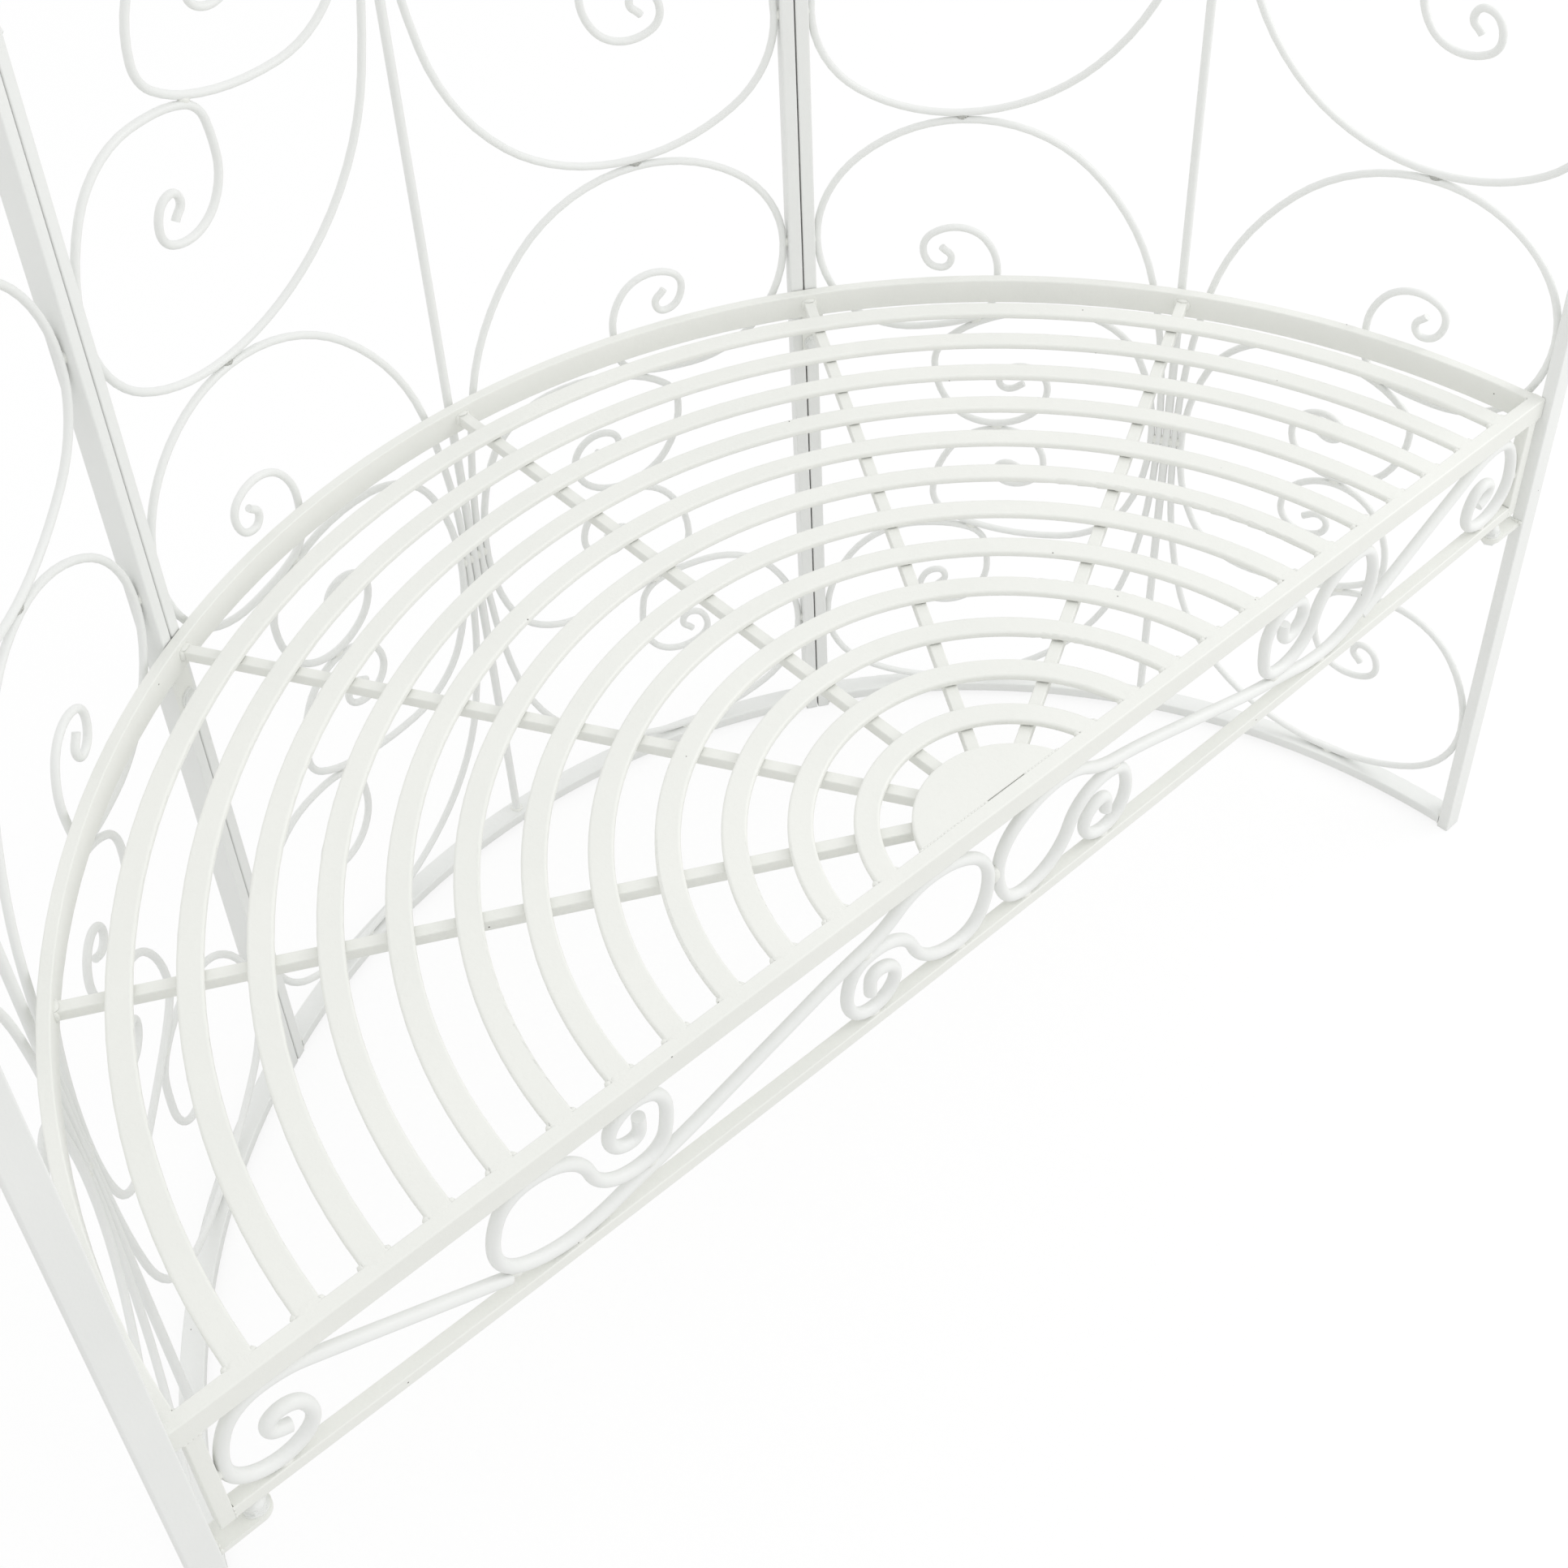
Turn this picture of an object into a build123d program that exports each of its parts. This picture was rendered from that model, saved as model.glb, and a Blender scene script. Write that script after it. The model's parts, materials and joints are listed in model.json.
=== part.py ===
import math
import os

from build123d import *

# Half-round garden gazebo with a bench, all lengths in millimetres.
# It is drawn from the centre of the half circle on the ground, +Y runs to the back and +Z up.
# Each finished piece is moved forward by middle_back, so the origin lies under the middle of the whole.

# Ground plan
clear_radius = 550.0
panel_count = 3
end_setback = 5.5
post_slit = 1.0
weld_gap = 0.3

# Flat tube of the posts, the panel rails, the front bar and the roof ribs
tube_deep = 17.0
tube_thin = 9.5
tube_wall = 1.2
tube_corner = 1.2

# Curved side panels
rail_lift = 3.0
post_overrun = 3.0
tier_count = 3
tier_height = 570.0
scroll_rod = 5.5
centre_rod = 6.5

# Large scroll, outward from the centre rod and upward from the waist of its tier
large_rise_out = 22.0
large_rise_up = 148.0
large_rise_lean = 77.0
large_crown_out = 170.0
large_side_up = 192.0
large_floor_out = 200.0
large_floor_up = 101.0
large_return_out = 140.0
large_return_up = 150.0
large_curl_out = 174.0
large_curl_up = 190.0
large_eye_out = 197.0
large_eye_up = 173.0
large_turn_out = 182.5
large_turn_up = 154.5
large_hook_out = 175.5
large_hook_up = 162.7
large_tip_out = 183.0
large_tip_up = 173.0
large_tip_lean = 52.0
touch_out = 156.0
touch_up = 108.0
touch_lean = 157.0

# Small scroll, measured in the same way
small_rise_out = 27.0
small_rise_up = 75.0
small_rise_lean = 66.0
small_side_out = 187.0
small_side_up = 66.0
small_floor_out = 136.0
small_return_out = 97.0
small_return_up = 38.0
small_curl_out = 119.0
small_curl_up = 60.0
small_eye_out = 135.5
small_eye_up = 46.0
small_turn_out = 127.5
small_turn_up = 38.0
small_tip_out = 116.0
small_tip_up = 43.5
small_tip_lean = 145.0

# Bench
seat_height = 450.0
bar_setback = 15.9
rim_thick = 8.0
rim_height = 20.0
rim_corner = 1.0
slat_count = 12
slat_width = 15.0
slat_thick = 5.0
slat_round = 1.8
slat_rim_gap = 28.0
slat_plate_gap = 18.5
spoke_bar = 8.0
spoke_corner = 0.8
spoke_gap = 0.6
spoke_count = 5
spoke_start = 30.0
plate_radius = 60.0
plate_round = 1.5

# Apron under the front bar
apron_opening = 75.5
apron_sag = 12.0
apron_bar = 9.0
apron_corner = 0.9
apron_rod = 8.0
leg_inset = 5.0
wave_centre = 187.0
wave_middle_up = -3.2
wave_lean = 16.5
wave_touch_out = 80.0
wave_touch_rise = 22.0
wave_touch_lean = 11.0
wave_crown_out = 133.5
wave_side_up = -2.5
wave_floor_out = 158.0
wave_loop_out = 66.5
wave_loop_up = -15.0
wave_curl_floor_out = 87.0
wave_curl_out = 105.0
wave_curl_up = -23.0
wave_eye_out = 91.0
wave_eye_up = -8.5
wave_tip_out = 85.0
wave_tip_up = -24.0
end_tail_gap = 5.5
end_tail_up = -27.2
end_tail_lean = 28.0
end_bend_back = 53.4
end_bend_up = 33.4
end_crown_back = 28.4
end_side_up = -2.0
end_floor_back = 27.5
end_return_back = 48.5
end_return_up = -11.0
end_curl_back = 33.5
end_curl_up = 9.8
end_eye_back = 25.0
end_eye_up = 3.0
end_tip_back = 36.0
end_tip_up = -8.0

# Brackets and fasteners
tab_thick = 4.0
tab_width = 16.0
tab_reach = 33.0
rear_tab_thick = 3.0
rear_tab_width = 16.0
rear_tab_drop = 45.0
rear_bolt_drop = 28.0
bolt = 6.0
bolt_play = 0.6
thread_play = 0.2
head_width = 10.0
head_height = 4.0
nut_width = 11.0
nut_height = 4.0
nut_flange = 14.0
nut_flange_height = 1.5
nut_dome = 5.4

# Roof
cap_thick = 4.0
hub_radius = 40.0
hub_height = 18.0
hub_round = 3.0
finial_stem = 6.0
finial_neck = 22.0
finial_ball = 20.0
finial_sink = 1.0
finial_tip = 30.0
finial_point = 1.5

# Places worked out from the sizes above
panel_radius = clear_radius + tube_deep / 2
post_side = post_slit / 2 + tube_thin
post_middle = post_slit / 2 + tube_thin / 2
end_turn = math.degrees(math.asin((end_setback - post_slit / 2) / panel_radius))
panel_angle = (180 - 2 * end_turn) / panel_count
edges = [end_turn + count * panel_angle for count in range(panel_count + 1)]
joints = range(1, panel_count)
rail_top = rail_lift + tube_thin
top_rail_base = rail_top + tier_count * tier_height
post_height = top_rail_base + tube_thin + post_overrun
rail_turn = math.degrees(math.asin((post_side + weld_gap / 2) / clear_radius))
half_tier = tier_height / 2
panel_half_width = panel_radius * math.radians(panel_angle / 2) - post_side
rod_pitch = scroll_rod + weld_gap

rim_outer = clear_radius - weld_gap
rim_inner = rim_outer - rim_thick
rim_base = seat_height - rim_height
bar_back = bar_setback + tube_thin / 2
bar_base = seat_height - tube_deep
slat_base = seat_height - slat_thick
slat_edge = min(slat_round, 0.4 * slat_thick)
spoke_mid = slat_base - spoke_gap - spoke_bar / 2
slat_end = bar_back + weld_gap
outer_slat_radius = rim_inner - slat_rim_gap - slat_width / 2
inner_slat_radius = plate_radius + slat_plate_gap + slat_width / 2
slat_pitch = (outer_slat_radius - inner_slat_radius) / (slat_count - 1)
bar_half = clear_radius - weld_gap
leg_out = bar_half - leg_inset - apron_bar / 2
leg_inner = leg_out - apron_bar / 2
rail_bar_base = bar_base - apron_opening - apron_bar
rail_bar_mid = rail_bar_base + apron_bar / 2
apron_mid = bar_base - (apron_opening + apron_sag) / 2
apron_top = bar_base - weld_gap - apron_rod / 2 - apron_mid
bolt_hole = bolt + bolt_play
tab_bolt_out = bar_half - tab_reach + tab_width / 2
tab_sag = apron_sag * (1 - (tab_bolt_out / leg_inner) ** 2)
tab_top = rail_bar_base - tab_sag - weld_gap - nut_height - nut_dome
tab_base = tab_top - tab_thick
rim_turn = math.degrees(math.asin(slat_end / rim_inner))
panel_bolt_heights = [rail_top + half_tier + tier * tier_height for tier in range(1, tier_count)]
rear_fixings = ((1, -1), (panel_count - 1, 1))
rear_bolt_up = rim_base - rear_bolt_drop
rib_radius = panel_radius - hub_radius - weld_gap
rib_base = post_height + cap_thick
hub_middle = rib_base + rib_radius
middle_back = (clear_radius + tube_deep - hub_radius) / 2

os.makedirs("parts", exist_ok=True)


def save(part, name):
    placed = part.moved(Location((0, -middle_back, 0)))
    placed.label = name
    export_step(placed, f"parts/{name}.step")


def heading(angle):
    return Vector(math.cos(math.radians(angle)), math.sin(math.radians(angle)), 0)


def upright(angle):
    # Level plane whose X axis points outward at this angle
    return Plane(origin=(0, 0, 0), x_dir=heading(angle), z_dir=(0, 0, 1))


def radial(angle):
    # Standing plane through the middle axis, X outward and Y up
    return Plane(origin=(0, 0, 0), x_dir=heading(angle), z_dir=heading(angle - 90))


def arc_middle(start, corner, end):
    # Middle point of the arc that leaves start towards corner and comes from corner to end
    base = (start + end) * 0.5
    rise = corner - base
    if rise.length < 1e-6:
        return base
    half_chord = (end - start).length / 2
    return base + rise.normalized() * half_chord * math.tan(math.atan2(rise.length, half_chord) / 2)


def tangent_arcs(knots):
    # Two arcs between each pair of knots, a knot being a point and a direction
    for (start, leave), (end, arrive) in zip(knots, knots[1:]):
        span = end - start
        both = leave + arrive
        turn = 2 * (1 - leave.dot(arrive))
        if turn < 1e-9:
            reach = span.dot(span) / (4 * span.dot(leave))
        else:
            reach = (math.sqrt(span.dot(both) ** 2 + turn * span.dot(span)) - span.dot(both)) / turn
        first = start + leave * reach
        second = end - arrive * reach
        joint = (first + second) * 0.5
        ThreePointArc(start, arc_middle(start, first, joint), joint)
        ThreePointArc(joint, arc_middle(joint, second, end), end)


def bent_rod(knots, diameter):
    with BuildPart() as rod:
        with BuildLine() as route:
            tangent_arcs(knots)
        with BuildSketch(Plane(origin=route.line @ 0, z_dir=route.line % 0)):
            Circle(diameter / 2)
        sweep(path=route.line)
    return rod.part


def flat_knots(pattern):
    # Doubles the upper half of a C scroll downward, giving one path from tip to tip
    lower = [(out, -up, 180 - angle) for out, up, angle in reversed(pattern[1:])]
    return lower + pattern


def panel_knots(pattern, waist):
    # Wraps a flat pattern round a panel at angle zero, outward running clockwise from the centre rod
    knots = []
    for out, up, angle in flat_knots(pattern):
        place = -out / panel_radius
        point = Vector(panel_radius * math.cos(place), panel_radius * math.sin(place), waist + up)
        along = Vector(math.sin(place), -math.cos(place), 0) * math.cos(math.radians(angle))
        knots.append((point, along + Vector(0, 0, math.sin(math.radians(angle)))))
    return knots


def flat_tube(across, up):
    # Section of the flat tube with its bore
    RectangleRounded(across, up, tube_corner)
    Rectangle(across - 2 * tube_wall, up - 2 * tube_wall, mode=Mode.SUBTRACT)


def rail_level(out):
    # Middle of a rod that stands on the bowed apron rail this far from the middle of the bench
    bow = apron_sag * (1 - (out / leg_inner) ** 2)
    return rail_bar_mid - bow + apron_bar / 2 + weld_gap + apron_rod / 2 - apron_mid


def wave_end(inner):
    # Half of a wave scroll, from its middle to the end that lies inward or outward along the bench
    rise = wave_touch_rise - wave_middle_up
    crown = -rail_level(wave_centre + wave_crown_out)
    floor = -apron_top
    curl_floor = -apron_top
    if inner:
        rise = wave_touch_rise + wave_middle_up
        crown = apron_top
        floor = rail_level(wave_centre - wave_floor_out)
        curl_floor = rail_level(wave_centre - wave_curl_floor_out)
    under_out = wave_touch_out + apron_pitch * math.sin(math.radians(wave_touch_lean))
    under_up = rise - apron_pitch * math.cos(math.radians(wave_touch_lean))
    return [
        (wave_touch_out, rise, wave_touch_lean),
        (wave_crown_out, crown, 0),
        (wave_side, wave_side_up, -90),
        (wave_floor_out, floor, 180),
        (under_out, under_up, wave_touch_lean + 180),
        (wave_loop_out, wave_loop_up, -90),
        (wave_curl_floor_out, curl_floor, 0),
        (wave_curl_out, wave_curl_up, 90),
        (wave_eye_out, wave_eye_up, 180),
        (wave_tip_out, wave_tip_up, -85),
    ]


def apron_knots(pattern, side):
    # Stands a flat pattern in the plane of the front bar
    knots = []
    for out, up, angle in pattern:
        run = math.cos(math.radians(angle))
        point = Vector(side * out, bar_setback, apron_mid + up)
        knots.append((point, Vector(side * run, 0, math.sin(math.radians(angle)))))
    return knots


def behind_bar():
    # Keeps only what lies behind the front bar
    with Locations((0, slat_end)):
        Rectangle(2 * clear_radius, clear_radius, align=(Align.CENTER, Align.MIN), mode=Mode.INTERSECT)


def hex_bolt(length):
    # Head below the origin, shank up along Z
    with BuildPart() as screw:
        with BuildSketch():
            RegularPolygon(head_width / 2, 6, major_radius=False)
        extrude(amount=-head_height)
        with BuildSketch():
            Circle(bolt / 2)
        extrude(amount=length)
    return screw.part


# Large C scroll: its back lies along the centre rod and both ends roll in
large_waist = (centre_rod + scroll_rod) / 2 + weld_gap
large_side = panel_half_width - scroll_rod / 2 - weld_gap
large_pattern = [
    (large_waist, 0, 90),
    (large_rise_out, large_rise_up, large_rise_lean),
    (large_crown_out, half_tier - rod_pitch / 2, 0),
    (large_side, large_side_up, -90),
    (large_floor_out, large_floor_up, 180),
    (touch_out, touch_up, touch_lean),
    (large_return_out, large_return_up, 90),
    (large_curl_out, large_curl_up, 0),
    (large_eye_out, large_eye_up, -90),
    (large_turn_out, large_turn_up, 180),
    (large_hook_out, large_hook_up, 90),
    (large_tip_out, large_tip_up, large_tip_lean),
]

# Small C scroll: its shoulder is welded to the inner turn of the large one
shoulder_out = touch_out - rod_pitch * math.sin(math.radians(touch_lean))
shoulder_up = touch_up + rod_pitch * math.cos(math.radians(touch_lean))
small_pattern = [
    (large_waist + rod_pitch, 0, 90),
    (small_rise_out, small_rise_up, small_rise_lean),
    (shoulder_out, shoulder_up, touch_lean - 180),
    (small_side_out, small_side_up, -90),
    (small_floor_out, rod_pitch / 2, 180),
    (small_return_out, small_return_up, 90),
    (small_curl_out, small_curl_up, 0),
    (small_eye_out, small_eye_up, -90),
    (small_turn_out, small_turn_up, 180),
    (small_tip_out, small_tip_up, small_tip_lean),
]

# Wave scroll of the apron: both ends roll in, turned half round from one to the other
apron_pitch = apron_rod + weld_gap
wave_side = wave_centre - apron_pitch / 2
wave_whole = [(-out, -up, angle) for out, up, angle in reversed(wave_end(False))]
wave_whole += [(0, wave_middle_up, wave_lean)] + wave_end(True)
wave_pattern = [(wave_centre - out, up, 180 - angle) for out, up, angle in wave_whole]

# End scroll of the apron: a straight tail to the front bar, then a roll against the leg
end_side = leg_inner - apron_rod / 2 - weld_gap
end_pattern = [
    (wave_centre + wave_side - end_tail_gap, end_tail_up, end_tail_lean),
    (end_side - end_bend_back, end_bend_up, end_tail_lean),
    (end_side - end_crown_back, apron_top, 0),
    (end_side, end_side_up, -90),
    (end_side - end_floor_back, rail_level(end_side - end_floor_back), 180),
    (end_side - end_return_back, end_return_up, 90),
    (end_side - end_curl_back, end_curl_up, 0),
    (end_side - end_eye_back, end_eye_up, -90),
    (end_side - end_tip_back, end_tip_up, 200),
]

# One column of scrolls, made at angle zero and carried round to each panel
waist = rail_top + half_tier
tier_lifts = [(0, 0, tier * tier_height) for tier in range(tier_count)]
large_scroll = bent_rod(panel_knots(large_pattern, waist), scroll_rod)
small_scroll = bent_rod(panel_knots(small_pattern, waist), scroll_rod)

with BuildPart() as right_column:
    with Locations(*tier_lifts):
        add(large_scroll)
        add(small_scroll)

with BuildPart() as left_column:
    mirror(right_column.part, about=Plane.XZ)

# Side panels, from the left end of the bench round the back to the right end
for number, name in enumerate(("left", "middle", "right")):
    low = panel_count - 1 - number
    middle = edges[low] + panel_angle / 2

    for place, edge, side in (("right", low, 1), ("left", low + 1, -1)):
        outward = heading(edges[edge])
        around = heading(edges[edge] + 90)
        with BuildPart() as post:
            with BuildSketch(upright(edges[edge])):
                with Locations((panel_radius, side * post_middle)):
                    flat_tube(tube_deep, tube_thin)
            extrude(amount=post_height)
            if edge in joints:
                with BuildSketch(Plane(outward * panel_radius, (0, 0, 1), around)):
                    with Locations(*[(height, 0) for height in panel_bolt_heights]):
                        Circle(bolt_hole / 2)
                extrude(amount=side * 2 * post_side, mode=Mode.SUBTRACT)
            if (edge, side) in rear_fixings:
                with BuildSketch(Plane((0, 0, rear_bolt_up), around, outward)):
                    with Locations((side * post_middle, 0)):
                        Circle(bolt_hole / 2)
                extrude(amount=clear_radius + 2 * tube_deep, mode=Mode.SUBTRACT)
        save(post.part, f"{name}_panel_{place}_post")

    for base, place in ((rail_lift, "bottom"), (top_rail_base, "top")):
        with BuildPart() as rail:
            with BuildSketch(radial(edges[low] + rail_turn)):
                with Locations((panel_radius, base + tube_thin / 2)):
                    flat_tube(tube_deep, tube_thin)
            revolve(axis=Axis.Z, revolution_arc=panel_angle - 2 * rail_turn)
        save(rail.part, f"{name}_panel_{place}_rail")

    with BuildPart() as upright_rod:
        with BuildSketch(Plane.XY.offset(rail_top + weld_gap)):
            with Locations(heading(middle) * panel_radius):
                Circle(centre_rod / 2)
        extrude(amount=tier_count * tier_height - 2 * weld_gap)
    save(upright_rod.part, f"{name}_panel_centre_rod")

    for column, place in ((right_column, "right"), (left_column, "left")):
        with BuildPart() as scrolls:
            add(column.part, rotation=(0, 0, middle))
        save(scrolls.part, f"{name}_panel_{place}_scrolls")

# Bench frame: a flat bar on edge bent to a half-round rim, closed by a front bar of flat tube
with BuildPart() as seat_rim:
    with BuildSketch(radial(rim_turn)):
        with Locations((rim_inner + rim_thick / 2, seat_height - rim_height / 2)):
            RectangleRounded(rim_thick, rim_height, rim_corner)
    revolve(axis=Axis.Z, revolution_arc=180 - 2 * rim_turn)
save(seat_rim.part, "seat_rim")

with BuildPart() as front_bar:
    with BuildSketch(Plane.YZ):
        with Locations((bar_setback, seat_height - tube_deep / 2)):
            flat_tube(tube_thin, tube_deep)
    extrude(amount=bar_half, both=True)
save(front_bar.part, "seat_front_bar")

# Slats are flat bars bent on edge, butted against the back of the front bar
for number in range(slat_count):
    radius = outer_slat_radius - number * slat_pitch
    with BuildPart() as slat:
        with BuildSketch(Plane.XY.offset(slat_base)):
            Circle(radius + slat_width / 2)
            Circle(radius - slat_width / 2, mode=Mode.SUBTRACT)
            behind_bar()
        extrude(amount=slat_thick)
        fillet(slat.edges().filter_by(GeomType.CIRCLE), slat_edge)
    save(slat.part, f"seat_slat_{number + 1:02d}")

with BuildPart() as centre_plate:
    with BuildSketch(Plane.XY.offset(slat_base)):
        Circle(plate_radius)
        behind_bar()
    extrude(amount=slat_thick)
    fillet(centre_plate.edges().filter_by(GeomType.CIRCLE).group_by(Axis.Z)[-1], plate_round)
save(centre_plate.part, "seat_centre_plate")

# Spokes carry the slats and run from under the centre plate to the rim
with BuildPart() as seat_spokes:
    for number in range(spoke_count):
        rim_point = heading(180 * (number + 1) / (spoke_count + 1)) * (rim_inner - weld_gap)
        run = rim_point - Vector(0, bar_setback, 0)
        along = run.normalized()
        with BuildSketch(Plane(rim_point + Vector(0, 0, spoke_mid), (0, 0, 1), along)):
            RectangleRounded(spoke_bar, spoke_bar, spoke_corner)
        extrude(amount=spoke_start - run.length)
save(seat_spokes.part, "seat_spokes")

# Apron: a lower rail, bowed down in the middle, between two drop legs, with scrolls of thicker rod above it
rail_end = leg_inner - weld_gap
with BuildPart() as apron_rail:
    with BuildLine() as bow:
        ThreePointArc(
            (-rail_end, bar_setback, rail_bar_mid),
            (0, bar_setback, rail_bar_mid - apron_sag),
            (rail_end, bar_setback, rail_bar_mid),
        )
    with BuildSketch(Plane(bow.line @ 0, (0, 1, 0), bow.line % 0)):
        RectangleRounded(apron_bar, apron_bar, apron_corner)
    sweep(path=bow.line)
save(apron_rail.part, "apron_rail")

for side, name in ((-1, "left"), (1, "right")):
    with BuildPart() as drop_leg:
        with BuildSketch(Plane.XY.offset(rail_bar_base)):
            with Locations((side * leg_out, bar_setback)):
                RectangleRounded(apron_bar, apron_bar, apron_corner)
        extrude(amount=apron_bar + apron_opening)
    save(drop_leg.part, f"apron_{name}_leg")

    save(bent_rod(apron_knots(wave_pattern, side), apron_rod), f"apron_{name}_wave_scroll")
    save(bent_rod(apron_knots(end_pattern, side), apron_rod), f"apron_{name}_end_scroll")

    with BuildPart() as front_tab:
        with BuildSketch(Plane.XY.offset(tab_base)):
            with Locations((side * (bar_half + tab_bolt_out) / 2, bar_setback)):
                Rectangle(bar_half - tab_bolt_out, tab_width)
            with Locations((side * tab_bolt_out, bar_setback)):
                Circle(tab_width / 2)
                Circle(bolt_hole / 2, mode=Mode.SUBTRACT)
        extrude(amount=tab_thick)
    save(front_tab.part, f"front_{name}_tab")

for (edge, side), name in zip(rear_fixings, ("right", "left")):
    outward = heading(edges[edge])
    with BuildPart() as rear_tab:
        with BuildSketch(Plane(outward * rim_outer, heading(edges[edge] + 90), outward)):
            with Locations((side * post_middle, rim_base - rear_tab_drop / 2)):
                Rectangle(rear_tab_width, rear_tab_drop)
            with Locations((side * post_middle, rear_bolt_up)):
                Circle(bolt_hole / 2, mode=Mode.SUBTRACT)
        extrude(amount=-rear_tab_thick)
    save(rear_tab.part, f"rear_{name}_tab")

# Domed cap nut standing on its flange, with a blind bore for the thread
with BuildPart() as cap_nut:
    with BuildSketch():
        Circle(nut_flange / 2)
    extrude(amount=nut_flange_height)
    with BuildSketch():
        RegularPolygon(nut_width / 2, 6, major_radius=False)
    extrude(amount=nut_height)
    with Locations((0, 0, nut_height)):
        Sphere(nut_dome, arc_size1=0, align=(Align.CENTER, Align.CENTER, Align.MIN))
    with BuildSketch():
        Circle((bolt + thread_play) / 2)
    extrude(amount=nut_height, mode=Mode.SUBTRACT)

# A bolt starts under its head and its nut sits on the far side of what it holds
# The front nuts are welded under the apron rail, so their bolts come up through the tabs
bolt_grip = nut_height - thread_play
front_bolt = hex_bolt(tab_thick + bolt_grip)
rear_bolt = hex_bolt(tube_deep + weld_gap + rear_tab_thick + bolt_grip)
panel_bolt = hex_bolt(2 * post_side + bolt_grip)
front_bolt_planes = []
front_nut_planes = []
for side in (-1, 1):
    front_bolt_planes.append(Plane((side * tab_bolt_out, bar_setback, tab_base)))
    front_nut_planes.append(Plane((side * tab_bolt_out, bar_setback, tab_top)))
rear_bolt_planes = []
rear_nut_planes = []
for edge, side in rear_fixings:
    inward = heading(edges[edge] + 180)
    head_seat = heading(edges[edge] + 90) * side * post_middle - inward * (clear_radius + tube_deep)
    head_seat += Vector(0, 0, rear_bolt_up)
    rear_bolt_planes.append(Plane(head_seat, z_dir=inward))
    rear_nut_planes.append(Plane(head_seat + inward * (tube_deep + weld_gap + rear_tab_thick), z_dir=inward))
panel_bolt_planes = []
panel_nut_planes = []
for edge in joints:
    across = heading(edges[edge] + 90)
    for height in panel_bolt_heights:
        head_seat = heading(edges[edge]) * panel_radius - across * post_side + Vector(0, 0, height)
        panel_bolt_planes.append(Plane(head_seat, z_dir=across))
        panel_nut_planes.append(Plane(head_seat + across * 2 * post_side, z_dir=across))

with BuildPart() as seat_bolts:
    with Locations(*front_bolt_planes):
        add(front_bolt)
    with Locations(*rear_bolt_planes):
        add(rear_bolt)
save(seat_bolts.part, "seat_bolts")

with BuildPart() as seat_cap_nuts:
    with Locations(*front_nut_planes, *rear_nut_planes):
        add(cap_nut.part)
save(seat_cap_nuts.part, "seat_cap_nuts")

with BuildPart() as panel_bolts:
    with Locations(*panel_bolt_planes):
        add(panel_bolt)
save(panel_bolts.part, "panel_bolts")

with BuildPart() as panel_cap_nuts:
    with Locations(*panel_nut_planes):
        add(cap_nut.part)
save(panel_cap_nuts.part, "panel_cap_nuts")

# Roof: a rib from each post to a hub over the middle of the front
post_tops = (
    (edges[0], post_middle, tube_thin, "right_front"),
    (edges[1], 0, 2 * post_side, "right_rear"),
    (edges[2], 0, 2 * post_side, "left_rear"),
    (edges[3], -post_middle, tube_thin, "left_front"),
)
with BuildPart() as post_caps:
    for edge, shift, width, name in post_tops:
        with BuildSketch(upright(edge).offset(post_height)):
            with Locations((panel_radius, shift)):
                Rectangle(tube_deep, width)
        extrude(amount=cap_thick)
save(post_caps.part, "post_caps")

for edge, shift, width, name in post_tops:
    bend = heading(edge) * (hub_radius + weld_gap) + Vector(0, 0, rib_base)
    with BuildPart() as rib:
        with BuildSketch(upright(edge).offset(rib_base)):
            with Locations((panel_radius, shift)):
                flat_tube(tube_deep, tube_thin)
        revolve(axis=Axis(bend, heading(edge - 90)), revolution_arc=90)
    save(rib.part, f"roof_{name}_rib")

with BuildPart() as roof_hub:
    with BuildSketch(Plane.XY.offset(hub_middle - hub_height / 2)):
        Circle(hub_radius)
    extrude(amount=hub_height)
    fillet(roof_hub.edges().filter_by(GeomType.CIRCLE), hub_round)
save(roof_hub.part, "roof_hub")

finial_base = hub_middle + hub_height / 2
with BuildPart() as finial:
    with BuildSketch(Plane.XY.offset(finial_base)):
        Circle(finial_stem)
    extrude(amount=finial_neck)
    with Locations((0, 0, finial_base + finial_neck + finial_ball - finial_sink)):
        Sphere(finial_ball)
    with Locations((0, 0, finial_base + finial_neck + 2 * (finial_ball - finial_sink))):
        Cone(finial_stem, finial_point, finial_tip, align=(Align.CENTER, Align.CENTER, Align.MIN))
save(finial.part, "roof_finial")
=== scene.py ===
# %% [markdown]
# # A white iron garden gazebo with a half-round bench
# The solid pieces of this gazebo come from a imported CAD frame: tubes, bars, bent rods, bolts.
# Blender adds what a camera would see on the real thing: satin paint, weld blobs, light and a floor.
# The frame is loaded first, because every weld and every paint coat is placed by its pieces.

# %% Load the frame
import json
import math

import bmesh
import bpy
from mathutils import Matrix, Vector, noise


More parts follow.
